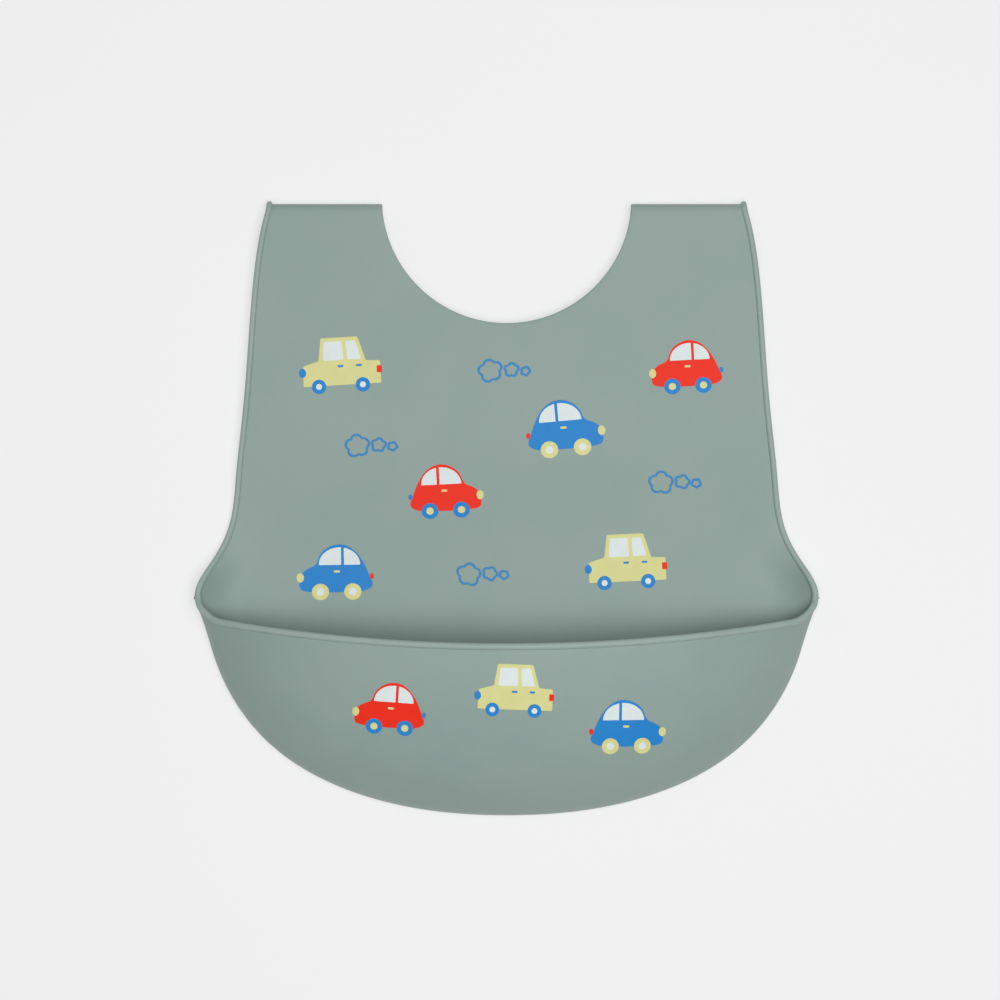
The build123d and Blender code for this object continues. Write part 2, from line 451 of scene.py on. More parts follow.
class Finish:
    """A material, made by adding nodes."""

    def __init__(self, name, **settings):
        self.material = bpy.data.materials.new(name)
        self.material.use_nodes = True
        self.tree = self.material.node_tree
        self.shader = self.tree.nodes["Principled BSDF"]
        self.place = self.node("ShaderNodeTexCoord", {}, output="Object")
        for socket, value in settings.items():
            self.shader.inputs[socket.replace("_", " ")].default_value = value

    def node(self, kind, settings, *values, output=0, **named):
        """A node with its settings, then its inputs in order or by name; gives one output."""
        made = self.tree.nodes.new(kind)
        for name, value in settings.items():
            setattr(made, name, value)
        inputs = list(enumerate(values))
        inputs += [(name.replace("_", " "), value) for name, value in named.items()]
        for key, value in inputs:
            self.feed(made.inputs[key], value)
        return Value(self, made.outputs[output])

    def feed(self, socket, value):
        """Link a value to a socket, or set it there."""
        if isinstance(value, Value):
            self.tree.links.new(value.socket, socket)
        else:
            socket.default_value = value

    def noise(self, scale, detail=2.0, roughness=0.5, distortion=0.0):
        """Soft noise, with so many clouds to the metre."""
        return self.node(
            "ShaderNodeTexNoise", {}, Vector=self.place, Scale=scale, Detail=detail,
            Roughness=roughness, Distortion=distortion,
        )

    def specks(self, scale, size):
        """A mask of scattered round specks."""
        distance = self.node("ShaderNodeTexVoronoi", {}, Vector=self.place, Scale=scale)
        return self.step(distance, size, 0.0)

    def step(self, value, low, high):
        """Map low to 0 and high to 1, and stop there."""
        return self.node(
            "ShaderNodeMapRange", {"interpolation_type": "SMOOTHSTEP"}, value, low, high, 0.0, 1.0,
        )

    def mix(self, share, first, second):
        """One colour turning into another."""
        made = self.tree.nodes.new("ShaderNodeMix")
        made.data_type = "RGBA"
        self.feed(made.inputs["Factor"], share)
        for socket, value in ((made.inputs[6], first), (made.inputs[7], second)):
            self.feed(socket, value if isinstance(value, Value) else (*value, 1.0))
        return Value(self, made.outputs[2])

    def bump(self, height, distance, strength=1.0, normal=None):
        """A surface raised by a height."""
        settings = {"Height": height, "Distance": distance, "Strength": strength}
        if normal is not None:
            settings["Normal"] = normal
        return self.node("ShaderNodeBump", {}, **settings)

    def surface(self, **values):
        """Feed the shader's sockets."""
        for socket, value in values.items():
            self.feed(self.shader.inputs[socket.replace("_", " ")], value)
        return self.material


def shade(colour, factor):
    """A colour made lighter or darker."""
    return tuple(min(1.0, part * factor) for part in colour)


def silicone(name, colour, deep):
    """Matte moulded silicone: soft clouds, a fine satin grain, specks of lint and flow marks."""
    finish = Finish(
        name, IOR=1.43, Subsurface_Weight=0.08, Subsurface_Scale=2 * MM,
        Sheen_Weight=0.12, Sheen_Roughness=0.45,
    )
    clouds = finish.noise(22, 4, 0.55, 0.3)
    grain = finish.noise(900, 3, 0.6)
    pores = finish.noise(2600, 2, 0.5)
    lint = finish.specks(95, 0.02)
    flow = finish.noise(70, 3, 0.5, 1.2)
    colour_now = finish.mix(finish.step(clouds, 0.35, 0.65), deep, colour)
    colour_now = finish.mix(finish.step(grain, 0.4, 0.75) * 0.10, colour_now, shade(colour, 1.12))
    colour_now = finish.mix(lint * 0.35, colour_now, shade(colour, 1.7))
    finish.shader.inputs["Subsurface Radius"].default_value = (1.0, 0.9, 0.8)
    rough = 0.50 + 0.10 * clouds + 0.08 * grain
    bumped = finish.bump(grain * 0.7 + pores * 0.3, 0.035 * MM, 0.6)
    bumped = finish.bump(flow, 0.12 * MM, 0.5, bumped)
    return finish.surface(Base_Color=colour_now, Roughness=rough, Normal=bumped)


def ink(name, colour):
    """Printed silicone ink: a flat satin film, a little uneven, with a fine printed grain."""
    finish = Finish(name, IOR=1.45, Specular_IOR_Level=0.12)
    blotches = finish.noise(160, 3, 0.6)
    weave = finish.noise(1800, 2, 0.5)
    base = finish.mix(finish.step(blotches, 0.3, 0.7), shade(colour, 0.98), shade(colour, 1.02))
    base = finish.mix((weave > 0.66) * 0.12, base, shade(colour, 0.8))
    rough = 0.40 + 0.14 * blotches
    bumped = finish.bump(weave * 0.6 + blotches * 0.4, 0.03 * MM, 0.5)
    return finish.surface(Base_Color=base, Roughness=rough, Normal=bumped)


FINISHES = {}


def make_finishes():
    """Every material, by its name."""
    tints = bpy.context.scene.bib_colours
    FINISHES["silicone"] = silicone("Silicone sheet", tints.silicone, tints.silicone_deep)
    # The beads' lighter tint is painted highlight on the raised edges, not a colour of their own.
    FINISHES["bead"] = silicone("Silicone bead", tints.bead, shade(tints.bead, 0.95))
    for name in ("red", "blue", "line", "yellow", "white"):
        FINISHES[name] = ink(f"Ink {name}", getattr(tints, name))


# --------------------------------------------------------------------------- moulded pieces


def patch(u, v, bottom, top, left, right):
    """Places inside four edge paths; u goes from left to right and v from bottom to top."""
    low, high = along(bottom, u), along(top, u)
    near, far = along(left, v), along(right, v)
    u, v = u[:, None], v[:, None]
    corners = (
        (1 - u) * (1 - v) * bottom[0] + u * (1 - v) * bottom[-1]
        + (1 - u) * v * top[0] + u * v * top[-1]
    )
    return (1 - v) * low + v * high + (1 - u) * near + u * far - corners


class BIB_OT_panel(bpy.types.Operator):
    """Make the front panel: a thin sheet with a rounded neckline"""

    bl_idname = "bib.panel"
    bl_label = "Front panel"

    def execute(self, context):
        piece, u, v = grid("front_sheet", sizes().fineness, 130)
        side = RIGHT_SIDE[::-1]
        plan = patch(u, v, BOTTOM_PATH, top_path(), mirror_x(side), side)
        # The edge stays a little inside the pocket's wall at the bottom and the beads at the sides.
        way = plan - np.array([0, POCKET_Y])
        drawn_in = 0.9 * MM * (1 - rise(v / 0.3))[:, None]
        plan = plan - way / np.maximum(np.linalg.norm(way, axis=1), MM)[:, None] * drawn_in
        plan[:, 0] -= np.sign(plan[:, 0]) * 0.5 * MM * np.isclose(np.abs(u - 0.5), 0.5)
        height = panel_top(plan[:, 0], plan[:, 1])
        move_to(piece, np.column_stack([plan, height]))
        thicken(piece, SHEET, even=False)
        round_edges(piece, self.on_neckline, 0.55 * MM)
        finish_piece(piece, FINISHES["silicone"])
        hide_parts("front_panel")
        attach(piece, "root")
        return {"FINISHED"}

    @staticmethod
    def on_neckline(first, second):
        """Whether an edge runs along the neckline."""
        off = [abs(math.hypot(p[0], p[1] - NECK_Y) - NECK_RADIUS) for p in (first, second)]
        level = abs(first[2] - second[2]) < SHEET / 2
        below = min(first[1], second[1]) < FOLD_Y - TINY
        return max(off) < 2 * TINY and level and below


def mouth_turn(outline):
    """How far round each outline place's arch the mouth is."""
    way = outline - np.array([0, POCKET_Y])
    low, high = np.zeros(len(way)), np.full(len(way), math.pi / 2)
    for _ in range(40):
        turn = (low + high) / 2
        y = POCKET_Y + np.cos(turn) * way[:, 1]
        past = y > mouth_y(np.cos(turn) * way[:, 0])
        low, high = np.where(past, low, turn), np.where(past, turn, high)
    return (low + high) / 2


def arch(outline, turn, grow=0.0):
    """Places on the pocket's outside, at a turn up from the outline."""
    middle = np.array([0, POCKET_Y])
    way = outline - middle
    size = 1 + grow / PANEL_HIGH.x
    plan = middle + way * (size * np.cos(turn))[:, None]
    base = corner_curl(outline[:, 0], outline[:, 1])
    climb = (sizes().pocket_depth + grow - base) * np.sin(turn)
    return np.column_stack([plan, WALL_BASE + base + climb])


def blend_to_rim(piece):
    """Bake a pocket piece's place into its mesh."""
    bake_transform(piece)


class BIB_OT_pocket(bpy.types.Operator):
    """Make the scoop pocket's wall, from under the panel's edge to the mouth"""

    bl_idname = "bib.pocket"
    bl_label = "Pocket wall"

    def execute(self, context):
        piece, u, v = grid("scoop_wall", 240, 64)
        # Shares of the wall: left off at each end, and turned down below the panel's face.
        trim, foot = 0.002, 0.1
        outline = along(BOTTOM_PATH, trim + (1 - 2 * trim) * u)
        climb = (v - foot) / (1 - foot)
        places = arch(outline, mouth_turn(outline) * np.clip(climb, 0, 1))
        below = np.clip(-climb * (1 - foot) / foot, 0, 1)
        away_from_ends = rise(np.minimum(u, 1 - u) / 0.02)
        drop = below * (WALL_BASE - 0.1 * MM) * away_from_ends
        lip = 1.3 * MM
        height = WALL_BASE - drop
        tuck = lip - np.sqrt(lip**2 - np.clip(lip - height, 0, lip) ** 2)
        way = outline - np.array([0, POCKET_Y])
        way /= np.linalg.norm(way, axis=1)[:, None]
        places[:, :2] -= way * np.where(below > 0, tuck, 0)[:, None]
        places[:, 2] -= drop
        move_to(piece, places)
        thicken(piece, SHEET, even=False)
        finish_piece(piece, FINISHES["silicone"])
        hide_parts("pocket_wall")
        blend_to_rim(piece)
        return {"FINISHED"}


def side_bead_path():
    """The right side's bead, from the shoulder down to the corner."""
    radius = sizes().side_bead
    path = beside(RIGHT_SIDE, radius)
    start = np.array([[SHOULDER_OUTER - radius, FOLD_Y]])
    path = np.vstack([start, path[path[:, 1] < FOLD_Y - 2 * MM]])
    height = panel_back(path[:, 0], path[:, 1]) + BEAD_MIDDLE
    return np.column_stack([path, height])


def rim_path():
    """The bead along the mouth, from the middle to the right corner."""
    outline = along(BOTTOM_PATH, np.linspace(0.5, 1, FINE))
    turn = mouth_turn(outline)
    on_wall = rise(turn / 0.2)
    return arch(outline, turn, -sizes().side_bead * (1 - on_wall) - RIM_INSET * on_wall)


def bead_path():
    """The right half of the whole bead, from the shoulder to the middle of the mouth."""
    side, rim = side_bead_path(), rim_path()[::-1]
    path = np.vstack([side, rim[8:]])
    path = along(path, np.linspace(0, 1, 900))
    for _ in range(30):
        path[1:-1] = (path[:-2] + 2 * path[1:-1] + path[2:]) / 4
    return along(path, np.linspace(0, 1, 420))


class BIB_OT_beads(bpy.types.Operator):
    """Make the bead that runs down both sides and along the mouth of the pocket"""

    bl_idname = "bib.beads"
    bl_label = "Edge beads"

    def execute(self, context):
        half = bead_path()
        corner = int(np.argmin(np.abs(half[:, 1] - BEADS_MEET_Y)))
        # The bead thickens over this many places.
        growth = 24
        share = rise((np.arange(len(half)) - corner + growth / 2) / growth)
        thin, thick = sizes().side_bead, sizes().rim_bead
        radii = thin + (thick - thin) * share
        overlap = 4
        right, right_radii = half[: corner + overlap], radii[: corner + overlap]
        rim = np.vstack([half[corner:], mirror_x(half[corner:])[::-1][1:]])
        rim_radii = np.concatenate([radii[corner:], radii[corner:][::-1][1:]])
        pieces = [
            tube("side_bead_right", right, right_radii),
            tube("side_bead_left", mirror_x(right), right_radii),
            tube("rim_bead", rim, rim_radii),
        ]
        for piece in pieces:
            finish_piece(piece, FINISHES["bead"], 60)
        for piece in pieces[:2]:
            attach(piece, "root")
        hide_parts("pocket_rim")
        blend_to_rim(pieces[2])
        return {"FINISHED"}


# --------------------------------------------------------------------------- shoulders and straps

FOLD_WAY = math.pi * FOLD_RADIUS
# How the shoulder's outer edge leans where it leaves the panel and where it meets the strap.
FOLD_LEAN = (-0.3, -0.05)
FOLD_HALVES = {
    "upper": (0.0, "root", "shoulder", (0.45, 2.45), (2.45, 0.45)),
    "lower": (90.0, "shoulder", "strap", (2.45, -0.45), (0.45, -2.45)),
}


def fold_inner(turn):
    """The shoulder's inner edge, which follows the neck circle as the sheet turns over."""
    return np.sqrt(NECK_RADIUS**2 - (NECK_Y - FOLD_Y - FOLD_WAY * turn / math.pi) ** 2)


def fold_outer(turn):
    """The shoulder's outer edge, which sways a little as the sheet turns over."""
    t = turn / math.pi
    sway = (t**3 - 2 * t**2 + t) * FOLD_LEAN[0] + (t**3 - t**2) * FOLD_LEAN[1]
    return SHOULDER_OUTER + FOLD_WAY * sway


def fold_place(x, turn, radius):
    """A place on the shoulder's turn, from the panel at 0 degrees to the strap at 180."""
    return np.column_stack([
        x, FOLD_Y + radius * np.sin(turn), FOLD_MIDDLE_Z + radius * np.cos(turn),
    ])


class BIB_OT_folds(bpy.types.Operator):
    """Make the two turned-over shoulders, each in two halves"""

    bl_idname = "bib.folds"
    bl_label = "Shoulder folds"

    def execute(self, context):
        for side, way in (("left", -1), ("right", 1)):
            for half, details in FOLD_HALVES.items():
                self.make_half(side, way, half, *details)
        return {"FINISHED"}

    def make_half(self, side, way, half, first, parent, child, start, end):
        """One quarter turn of the sheet, with its bead."""
        piece, u, v = grid(f"{side}_shoulder_{half}", 40, 14)
        v = v if way > 0 else 1 - v
        turn = np.radians(first + 90 * (1 - v))
        near, far = fold_inner(turn), fold_outer(turn) - 0.9 * MM
        x = way * (near + (far - near) * u)
        move_to(piece, fold_place(x, turn, FOLD_RADIUS + SHEET / 2))
        self.face_outwards(piece)
        thicken(piece, SHEET)
        round_edges(piece, self.on_neck_side, 0.5 * MM)
        finish_piece(piece, FINISHES["silicone"])
        turns = np.radians(np.linspace(first, first + 90, 24))
        x = way * (fold_outer(turns) - sizes().side_bead)
        path = fold_place(x, turns, FOLD_RADIUS - SHEET / 2 + BEAD_MIDDLE)
        bead = tube(f"{side}_fold_bead_{half}", path, np.full(24, sizes().side_bead))
        finish_piece(bead, FINISHES["bead"], 60)
        for each in (piece, bead):
            if each is piece:
                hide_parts(f"{side}_shoulder_fold")
            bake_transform(each)

    @staticmethod
    def on_neck_side(first, second):
        """Whether an edge runs round the fold on the neck's side."""
        at_side = max(abs(p[0]) for p in (first, second)) < NECK_RADIUS + 0.1 * MM
        radii = [math.hypot(p[1] - FOLD_Y, p[2] - FOLD_MIDDLE_Z) for p in (first, second)]
        return at_side and abs(radii[0] - radii[1]) < SHEET / 2

    @staticmethod
    def face_outwards(piece):
        """Turn the faces away from the middle of the fold."""
        face = piece.data.polygons[0]
        away = Vector((0, face.center.y - FOLD_Y, face.center.z - FOLD_MIDDLE_Z))
        if face.normal.dot(away) < 0:
            edit_all(piece, (bpy.ops.mesh.flip_normals, {}))


# The right strap's outer edge, from the fold to the middle, and where its rounded end is.
STRAP_OUTER = [(105.4, 264.2), (95.0, 223.0), (62.0, 192.0), (0.0, 185.8)]
TIP_X = 4 * MM
TIP_ROUND = 11 * MM
HOLE_RADIUS = 2.6 * MM
# The button holes' places, in degrees round the neck from its lowest point.
HOLE_TURNS = [17.0, 26.0, 35.0, 44.0]


def strap_edges():
    """The right strap's inner and outer edges, from the fold to its tip."""
    outer = in_frame(smooth(STRAP_OUTER, (-0.05, -1), (-1, 0)))
    outer = outer[outer[:, 0] >= TIP_X]
    low = math.asin(TIP_X / NECK_RADIUS)
    high = math.acos((STRAP_NECK_Y - FOLD_Y) / NECK_RADIUS)
    turns = np.linspace(high, low, FINE)
    inner = np.stack([NECK_RADIUS * np.sin(turns), STRAP_NECK_Y - NECK_RADIUS * np.cos(turns)], -1)
    return inner, outer


def rounded_tip(outer):
    """The strap's end: two round corners that run on from its inner and outer edges."""
    x = TIP_X + TIP_ROUND
    reach = NECK_RADIUS + TIP_ROUND
    from_inner = STRAP_NECK_Y - math.sqrt(reach**2 - x**2)
    from_outer = float(np.interp(x, outer[::-1, 0], outer[::-1, 1])) + TIP_ROUND
    start = math.degrees(math.acos(x / reach))
    points = []
    for y, low, high in ((from_inner, 180 - start, 180), (from_outer, 180, 270)):
        for turn in np.radians(np.linspace(low, high, 12)):
            points.append((x + TIP_ROUND * math.cos(turn), y + TIP_ROUND * math.sin(turn)))
    return np.array(points)


def strap_outline():
    """The right strap's whole outline as one closed loop of places."""
    inner, outer = strap_edges()
    tip = rounded_tip(outer)
    inner = inner[inner[:, 0] > tip[0, 0] + 0.2 * MM]
    outer = outer[outer[:, 0] > tip[-1, 0] + 0.2 * MM]
    path = np.vstack([inner[::6], tip, outer[::-6]])
    end = np.array([[outer[0, 0], FOLD_Y]])
    return np.vstack([path, end]) if path[-1, 1] < FOLD_Y - TINY else path


def flat_face(name, outline, height=0.0):
    """A flat face with this outline."""
    deselect()
    bpy.ops.mesh.primitive_circle_add(vertices=len(outline), radius=1, fill_type="NGON")
    piece = bpy.context.object
    piece.name = name
    order = outline if signed_area(outline) > 0 else outline[::-1]
    move_to(piece, np.column_stack([order, np.full(len(order), height)]))
    return piece


def signed_area(outline):
    """An outline's area, positive when it goes round to the left."""
    x, y = outline.T
    return 0.5 * float(np.sum(x * np.roll(y, -1) - np.roll(x, -1) * y))


def on_strap(turn):
    """A place on the middle line of the right strap."""
    reach = NECK_RADIUS + 14.5 * MM
    angle = math.radians(turn)
    return reach * math.sin(angle), STRAP_NECK_Y - reach * math.cos(angle)


class BIB_OT_straps(bpy.types.Operator):
    """Make the two neck straps that lie folded behind the panel, with the button and its holes"""

    bl_idname = "bib.straps"
    bl_label = "Neck straps"

    def execute(self, context):
        outline = strap_outline()
        for side, way in (("left", -1), ("right", 1)):
            plan = outline * np.array([way, 1])
            piece = flat_face(f"{side}_neck_strap", plan, STRAP_BACK)
            thicken(piece, SHEET)
            if side == "right":
                self.cut_holes(piece)
            round_edges(piece, self.on_edge, 0.5 * MM)
            finish_piece(piece, FINISHES["silicone"], 35)
            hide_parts(f"{side}_strap")
            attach(piece, f"{side}_strap")
            self.make_bead(side, way)
        self.make_rings()
        self.make_button()
        return {"FINISHED"}

    @staticmethod
    def on_edge(first, second):
        """Whether an edge goes round the strap's upper or lower face, but not at the fold."""
        level = abs(first[2] - second[2]) < TINY
        at_fold = min(first[1], second[1]) > FOLD_Y - 5 * TINY
        return level and not at_fold

    @staticmethod
    def cut_holes(piece):
        """Cut the button holes through the strap."""
        cutters = []
        for turn in HOLE_TURNS:
            deselect()
            bpy.ops.mesh.primitive_cylinder_add(
                vertices=32, radius=HOLE_RADIUS, depth=20 * MM, location=(*on_strap(turn), 0)
            )
            cutters.append(bpy.context.object)
        select_only(*cutters)
        bpy.ops.object.join()
        cutter = bpy.context.object
        add_modifier(piece, "BOOLEAN", operation="DIFFERENCE", object=cutter, solver="EXACT")
        bpy.data.objects.remove(cutter)

    @staticmethod
    def make_bead(side, way):
        """The bead along the strap's outer edge, on the face that lies downwards."""
        radius = sizes().side_bead
        _, outer = strap_edges()
        path = beside(outer, radius)
        path = path[path[:, 0] > TIP_X + TIP_ROUND * 0.6]
        path = along(path, np.linspace(0, 1, 120)) * np.array([way, 1])
        places = np.column_stack([path, np.full(len(path), STRAP_BACK - BEAD_MIDDLE)])
        radii = radius * rise(np.linspace(len(path), 1, len(path)) / 10)
        bead = tube(f"{side}_strap_bead", places, np.maximum(radii, 0.2 * MM))
        finish_piece(bead, FINISHES["bead"], 60)
        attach(bead, f"{side}_strap")

    @staticmethod
    def make_rings():
        """A raised ring round each button hole."""
        for number, turn in enumerate(HOLE_TURNS, 1):
            deselect()
            bpy.ops.mesh.primitive_torus_add(
                major_segments=48, minor_segments=16, major_radius=HOLE_RADIUS + 0.9 * MM,
                minor_radius=0.75 * MM, location=(*on_strap(turn), STRAP_BACK - 0.1 * MM),
            )
            ring = bpy.context.object
            ring.name = f"button_hole_ring_{number}"
            bpy.ops.object.transform_apply(location=True, rotation=True, scale=True)
            finish_piece(ring, FINISHES["bead"], 60)
            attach(ring, "right_strap")

    @staticmethod
    def make_button():
        """The button: a mushroom turned from its half section."""
        low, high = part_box("button")
        middle = (low + high) / 2
        head, foot, tall = (high.x - low.x) / 2, 3.1 * MM, high.z - low.z
        section = [
            (foot, -0.2 * MM), (2.5 * MM, 0.35 * MM), (2.3 * MM, 1.0 * MM), (2.4 * MM, 1.8 * MM),
            (3.2 * MM, 2.05 * MM), (head - 0.2 * MM, 2.2 * MM), (head, 2.6 * MM),
            (head - 0.35 * MM, 3.1 * MM), (head * 0.7, tall - 0.12 * MM), (head * 0.35, tall),
        ]
        piece, u, v = grid("strap_button", 48, len(section) - 1)
        turn = 2 * math.pi * u
        profile = along(np.array(section), v)
        places = np.column_stack([
            middle.x + profile[:, 0] * np.cos(turn), middle.y + profile[:, 0] * np.sin(turn),
            low.z + profile[:, 1],
        ])
        move_to(piece, places)
        edit_all(
            piece,
            (bpy.ops.mesh.remove_doubles, {"threshold": TINY}),
            (bpy.ops.mesh.fill_holes, {"sides": 0}),
            (bpy.ops.mesh.normals_make_consistent, {"inside": False}),
        )
        finish_piece(piece, FINISHES["bead"], 50)
        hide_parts("button")
        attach(piece, "left_strap")


# --------------------------------------------------------------------------- prints

# Cars are drawn one long, facing left, with the middle at zero.
ROUND_HULL = [
    (-0.455, -0.225), (-0.475, -0.13), (-0.445, -0.02), (-0.36, 0.055), (-0.268, 0.1),
    (-0.205, 0.23), (-0.092, 0.343), (0.052, 0.385), (0.192, 0.345), (0.307, 0.235), (0.4, 0.07),
    (0.465, -0.09), (0.485, -0.175), (0.42, -0.235), (0.22, -0.262), (0.0, -0.27), (-0.25, -0.262),
    (-0.4, -0.25),
]
BOX_HULL = [
    (-0.445, 0.02), (-0.26, 0.075), (-0.22, 0.345), (0.22, 0.345), (0.305, 0.055), (0.475, 0.045),
    (0.475, -0.225), (-0.455, -0.225),
]
BOX_PANES = [
    [(-0.185, 0.3), (0.03, 0.3), (0.04, 0.075), (-0.205, 0.075)],
    [(0.075, 0.3), (0.19, 0.3), (0.25, 0.075), (0.085, 0.075)],
]
CAR_LENGTH = 33.5 * MM
# How much a round car is stretched along and up.
ROUND_BUILD = np.array([1.0, 0.96])


def disc(x, y, across, up=None, count=40):
    """A round or oval outline."""
    turns = np.linspace(0, 2 * math.pi, count, endpoint=False)
    return np.stack([x + across * np.cos(turns), y + (up or across) * np.sin(turns)], -1)


def soft_corners(points, radius, count=5):
    """A straight-sided outline with small round corners."""
    points = np.array(points, float)
    path = []
    for before, corner, after in zip(np.roll(points, 1, 0), points, np.roll(points, -1, 0)):
        first = corner + unit(before - corner) * radius
        last = corner + unit(after - corner) * radius
        for t in np.linspace(0, 1, count):
            path.append((1 - t) ** 2 * first + 2 * t * (1 - t) * corner + t * t * last)
    return np.array(path)


def arched_pane(left, right, base, top, middle, across):
    """A window under a round roof, with upright sides."""
    x = np.linspace(left, right, 24)
    y = base + (top - base) * np.sqrt(np.clip(1 - ((x - middle) / across) ** 2, 0, 1))
    return np.vstack([[left, base], np.stack([x, y], -1), [right, base]])


def round_car(paints):
    """Layers of a round-roofed toy car: outline, ink and layer."""
    body, wheel, hub, tail = paints
    layers = [(smooth(ROUND_HULL, count=140), body, 0)]
    for left, right in ((-0.215, 0.078), (0.115, 0.325)):
        layers.append((arched_pane(left, right, 0.105, 0.345, 0.055, 0.272), "white", 1))
    handle = [(-0.02, 0.0), (0.06, 0.0), (0.06, 0.03), (-0.02, 0.03)]
    layers.append((soft_corners(handle, 0.012), "yellow", 1))
    for x in (-0.2, 0.225):
        layers.append((disc(x, -0.262, 0.112), wheel, 1))
        layers.append((disc(x, -0.262, 0.05), hub, 2))
    layers.append((disc(-0.462, -0.065, 0.048, 0.064), "yellow", 2))
    layers.append((disc(0.478, -0.055, 0.028, 0.04), tail, 2))
    return [(outline * ROUND_BUILD, paint, layer) for outline, paint, layer in layers]


def boxy_car(paints):
    """Layers of a square-built toy car: outline, ink and layer."""
    body, wheel, hub, tail = paints
    layers = [(soft_corners(BOX_HULL, 0.018), body, 0)]
    for pane in BOX_PANES:
        layers.append((soft_corners(pane, 0.018), "white", 1))
    for x, y in ((0.0, 0.0), (0.22, 0.0)):
        low, high = y - 0.012, y + 0.014
        bar = [(x - 0.035, low), (x + 0.035, low), (x + 0.035, high), (x - 0.035, high)]
        layers.append((soft_corners(bar, 0.011), "blue", 1))
    for x in (-0.27, 0.255):
        layers.append((disc(x, -0.232, 0.086), wheel, 1))
        layers.append((disc(x, -0.232, 0.036), hub, 2))
    layers.append((disc(-0.458, -0.06, 0.042, 0.054), "blue", 2))
    lamp = [(0.43, -0.1), (0.492, -0.1), (0.492, -0.015), (0.43, -0.015)]
    layers.append((soft_corners(lamp, 0.016), tail, 2))
    return layers


# The inks of a car's body, wheels, hubs and tail lamp.
RED = ("red", "blue", "yellow", "blue")
BLUE = ("blue", "yellow", "white", "red")
YELLOW = ("yellow", "blue", "white", "red")
# Each car's drawing, size, tilt in degrees, way it faces (1 is right) and inks.
CARS = {
    "red_car_shoulder": (round_car, 0.955, 2.8, -1, RED),
    "yellow_car_shoulder": (boxy_car, 1.09, 3.4, -1, YELLOW),
    "blue_car_chest": (round_car, 1.02, 5.2, 1, BLUE),
    "red_car_chest": (round_car, 0.97, 2.8, 1, RED),
    "blue_car_belly": (round_car, 1.0, 0.9, -1, BLUE),
    "yellow_car_belly": (boxy_car, 1.09, 2.7, -1, YELLOW),
    "red_car_pocket": (round_car, 0.93, -3.7, -1, RED),
    "yellow_car_pocket": (boxy_car, 1.02, -2.1, -1, YELLOW),
    "blue_car_pocket": (round_car, 0.97, 0.0, 1, BLUE),
}
# How far a drawing sits from the middle of its place, in millimetres.
NUDGES = {
    "red_car_shoulder": (-0.6, 0.0), "blue_car_chest": (-0.4, 0.4), "blue_car_belly": (0.6, 0.0),
    "red_car_pocket": (0.8, -0.8), "yellow_car_pocket": (1.0, -0.1), "blue_car_pocket": (0.0, -0.8),
}
PUFFS = ["puff_neck", "puff_left", "puff_right", "puff_belly"]
# Each puff of a trail: x, y and size in millimetres, and the turn of its bumps.
TRAIL = [(-6.2, -0.3, 5.0, 0.2), (3.1, 0.1, 3.0, 0.9), (9.2, -0.5, 1.9, 1.6)]
# Prints are cut into squares of this size, so that they follow the bib's curves.
CUT_STEP = 3 * MM


def print_middle(node):
    """The middle of a print's place on the bib."""
    low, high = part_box(node)
    across, up = NUDGES.get(node, (0.0, 0.0))
    return (low + high) / 2 + Vector((across, up, 0)) * MM


def on_pocket(node):
    """Whether a print is on the pocket."""
    return node.endswith("_pocket")


def set_down(piece, node, tilt, way):
    """Turn a flat drawing, cut it finely enough to bend, and lay it on the bib."""
    middle = print_middle(node)
    flat = coordinates(piece)
    turn = math.radians(tilt)
    x = -way * flat[:, 0]
    y = flat[:, 1]
    plan_x = middle.x + x * math.cos(turn) - y * math.sin(turn)
    plan_y = middle.y + x * math.sin(turn) + y * math.cos(turn)
    move_to(piece, np.column_stack([plan_x, plan_y, flat[:, 2]]))
    steps = [(bpy.ops.mesh.flip_normals, {})] if way > 0 else []
    for axis, places in ((Vector((1, 0, 0)), plan_x), (Vector((0, 1, 0)), plan_y)):
        for cut in np.arange(places.min() + CUT_STEP, places.max(), CUT_STEP):
            steps.append((bpy.ops.mesh.bisect, {"plane_co": axis * float(cut), "plane_no": axis}))
    edit_all(piece, *steps)
    drape(piece, node)


def drape(piece, node):
    """Lay a flat drawing on the bib's surface; its heights say how far each layer stands up."""
    places = coordinates(piece)
    x, y, lift = places.T
    top = pocket_top if on_pocket(node) else panel_top
    step = 0.05 * MM
    slope_x = (top(x + step, y) - top(x - step, y)) / (2 * step)
    slope_y = (top(x, y + step) - top(x, y - step)) / (2 * step)
    normal = np.column_stack([-slope_x, -slope_y, np.ones(len(x))])
    normal /= np.linalg.norm(normal, axis=1)[:, None]
    surface = np.column_stack([x, y, top(x, y)])
    move_to(piece, surface + normal * lift[:, None])
    add_modifier(piece, "TRIANGULATE")
    thicken(piece, 2.4 * sizes().ink)


def finish_print(drawn, node, tilt, way):
    """Join the parts of a print, lay it on the bib and smooth it; a print on the panel goes with the
    root.
    """
    select_only(*drawn)
    bpy.ops.object.join()
    piece = bpy.context.object
    piece.name = f"{node}_print"
    set_down(piece, node, tilt, way)
    finish_piece(piece, None, 30)
    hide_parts(node)
    if on_pocket(node):
        blend_to_rim(piece)
    else:
        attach(piece, "root")


class BIB_OT_cars(bpy.types.Operator):
    """Print the toy cars in layers of ink"""

    bl_idname = "bib.cars"
    bl_label = "Printed cars"

    def execute(self, context):
        for node, (draw, size, tilt, way, paints) in CARS.items():
            car_length = CAR_LENGTH * size
            layers = []
            for outline, paint, layer in draw(paints):
                lift = sizes().ink + layer * sizes().ink_step
                piece = flat_face(node, outline * car_length, lift)
                piece.data.materials.append(FINISHES[paint])
                layers.append(piece)
            finish_print(layers, node, tilt, way)
        return {"FINISHED"}


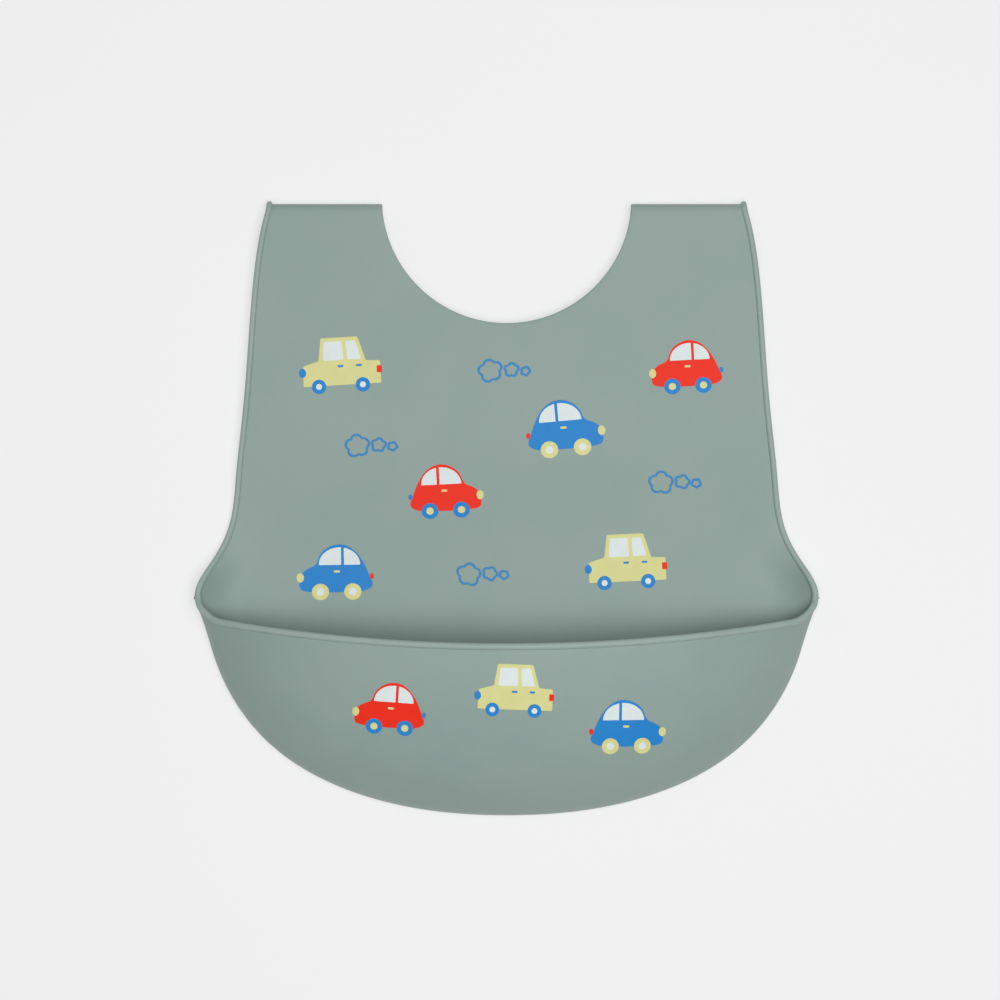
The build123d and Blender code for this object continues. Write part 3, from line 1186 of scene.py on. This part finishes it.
class BIB_OT_puffs(bpy.types.Operator):
    """Draw the trails of smoke puffs between the cars"""

    bl_idname = "bib.puffs"
    bl_label = "Smoke puffs"

    def execute(self, context):
        for number, node in enumerate(PUFFS):
            rings = [self.ring(node, number, *puff) for puff in TRAIL]
            finish_print(rings, node, 0.0, -1)
        return {"FINISHED"}

    @staticmethod
    def ring(node, number, x, y, size, turn):
        """One puff: a closed line with bumps, drawn by an unsteady hand."""
        piece, u, v = grid(node, 90, 1)
        angle = 2 * math.pi * u
        wobble = 0.03 * np.sin(2 * angle + number) + 0.02 * np.sin(3 * angle + 2 * number)
        bumps = 0.78 + 0.24 * np.abs(np.sin(2.5 * angle + turn + 0.3 * number)) ** 0.8
        reach = size * MM * (bumps + wobble) + sizes().stroke * (0.5 - v)
        places = np.column_stack([
            x * MM + reach * np.cos(angle), y * MM + 0.95 * reach * np.sin(angle),
            np.full(len(u), sizes().ink),
        ])
        move_to(piece, places)
        edit_all(
            piece,
            (bpy.ops.mesh.remove_doubles, {"threshold": TINY / 2}),
            (bpy.ops.mesh.normals_make_consistent, {"inside": False}),
        )
        if piece.data.polygons[0].normal.z < 0:
            edit_all(piece, (bpy.ops.mesh.flip_normals, {}))
        piece.data.materials.append(FINISHES["line"])
        return piece


# --------------------------------------------------------------------------- stage


def area_light(name, place, size, power):
    """A square soft light that shines at the bib's middle."""
    lamp = bpy.data.lights.new(name, "AREA")
    lamp.size = size
    lamp.energy = power
    light = bpy.data.objects.new(name, lamp)
    bpy.context.collection.objects.link(light)
    light.location = place
    light.rotation_euler = (Vector((0, 0, 0)) - Vector(place)).to_track_quat("-Z", "Y").to_euler()


class BIB_OT_stage(bpy.types.Operator):
    """Set the camera above the bib, with a pale floor and soft lights"""

    bl_idname = "bib.stage"
    bl_label = "Stage"

    def execute(self, context):
        deselect()
        bpy.ops.mesh.primitive_plane_add(size=60, location=(0, 0, 0))
        floor = bpy.context.object
        floor.name = "floor"
        finish = Finish("Pale floor", Roughness=0.9, Emission_Strength=0.56)
        speck = finish.noise(6, 2, 0.5)
        pale = finish.mix(speck, (0.345, 0.345, 0.345), (0.355, 0.355, 0.355))
        floor.data.materials.append(finish.surface(Base_Color=pale, Emission_Color=(1, 1, 1, 1)))
        camera = bpy.data.cameras.new("camera")
        height, view_width = 1.2, 0.44
        camera.sensor_width = 36
        camera.lens = 36 * height / view_width
        camera.clip_start = 0.01
        holder = bpy.data.objects.new("camera", camera)
        context.collection.objects.link(holder)
        holder.location = (-2.9 * MM, BOTTOM_Y + 138.4 * MM, height)
        context.scene.camera = holder
        world = bpy.data.worlds.new("Soft room")
        world.use_nodes = True
        world.node_tree.nodes["Background"].inputs["Color"].default_value = (1, 1, 1, 1)
        world.node_tree.nodes["Background"].inputs["Strength"].default_value = 0.17
        context.scene.world = world
        area_light("key", (0.18, -0.08, 1.5), 0.9, 17.5)
        area_light("fill", (-0.9, 0.7, 1.2), 1.2, 1.5)
        context.scene.view_settings.view_transform = "Standard"
        return {"FINISHED"}


# --------------------------------------------------------------------------- the add-on


class BIB_PT_panel(bpy.types.Panel):
    """The bib's sizes, colours and pieces"""

    bl_idname = "BIB_PT_panel"
    bl_label = "Silicone bib"
    bl_space_type = "VIEW_3D"
    bl_region_type = "UI"
    bl_category = "Bib"

    def draw(self, context):
        for group in (context.scene.bib_size, context.scene.bib_colours):
            for name in group.__annotations__:
                self.layout.prop(group, name)
        for operator in OPERATORS:
            self.layout.operator(operator.bl_idname)


OPERATORS = [
    BIB_OT_stage, BIB_OT_panel, BIB_OT_pocket, BIB_OT_beads, BIB_OT_folds, BIB_OT_straps,
    BIB_OT_cars, BIB_OT_puffs,
]
CLASSES = [BibSize, BibColours, *OPERATORS, BIB_PT_panel]


def register():
    """Register every class, and put the sizes and colours on the scene."""
    for each in CLASSES:
        bpy.utils.register_class(each)
    bpy.types.Scene.bib_size = PointerProperty(type=BibSize)
    bpy.types.Scene.bib_colours = PointerProperty(type=BibColours)


def unregister():
    """Take the classes and the scene's properties away again."""
    del bpy.types.Scene.bib_size
    del bpy.types.Scene.bib_colours
    for each in reversed(CLASSES):
        bpy.utils.unregister_class(each)


def main():
    """Build the whole bib."""
    register()
    make_finishes()
    for operator in OPERATORS:
        getattr(bpy.ops.bib, operator.bl_idname.split(".")[1])()


if __name__ == "__main__":
    main()
